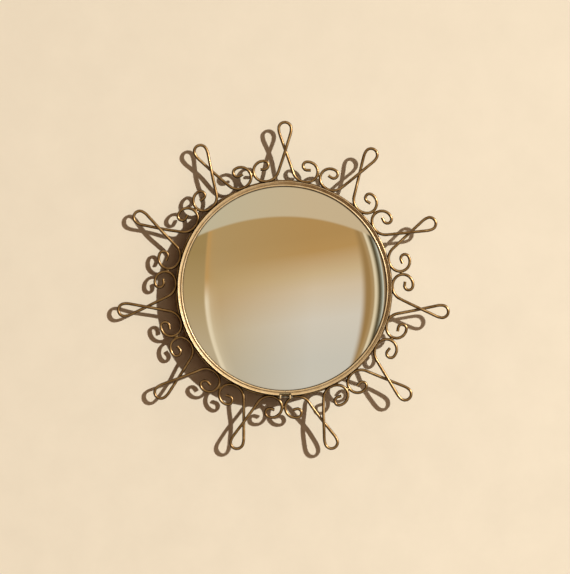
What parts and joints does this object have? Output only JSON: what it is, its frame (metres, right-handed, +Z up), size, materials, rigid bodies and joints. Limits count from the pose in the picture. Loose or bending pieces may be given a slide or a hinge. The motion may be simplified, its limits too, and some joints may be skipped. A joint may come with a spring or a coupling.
{
  "type": "convex wall mirror",
  "caption": "Round convex mirror glass in a slim beaded brass rim, ringed by a sunburst of looped and scrolled round-rod rays, with a keyhole hanger strap on its pan back.",
  "frame": {"origin": "rear face of the hanger strap, on the metal just below its keyhole, where the mirror meets its wall hook", "axes": "+Z up, +Y towards the wall, so the mirror glass faces -Y"},
  "size_m": [0.4585, 0.0399, 0.4532],
  "materials": {
    "gilt_brass": "aged gilt brass, half polished, brown in the shade",
    "silvered_glass": "silvered convex glass, clear and bright",
    "lacquered_steel": "dark brown lacquer, satin, lightly worn",
    "plated_steel": "dull zinc-plated steel"
  },
  "bodies": {
    "root": {"mirror_glass": "silvered_glass", "rim_band": "gilt_brass", "clamp_lug_left": "gilt_brass", "clamp_lug_right": "gilt_brass", "clamp_screw": "plated_steel", "clamp_nut": "plated_steel", "ray_hoop": "gilt_brass", "ray_01": "gilt_brass", "ray_02": "gilt_brass", "ray_03": "gilt_brass", "ray_04": "gilt_brass", "ray_05": "gilt_brass", "ray_06": "gilt_brass", "ray_07": "gilt_brass", "ray_08": "gilt_brass", "ray_09": "gilt_brass", "ray_10": "gilt_brass", "ray_11": "gilt_brass", "back_pan": "lacquered_steel", "hanger_strap": "plated_steel", "hanger_rivet_left": "plated_steel", "hanger_rivet_right": "plated_steel"}
  },
  "joints": []
}
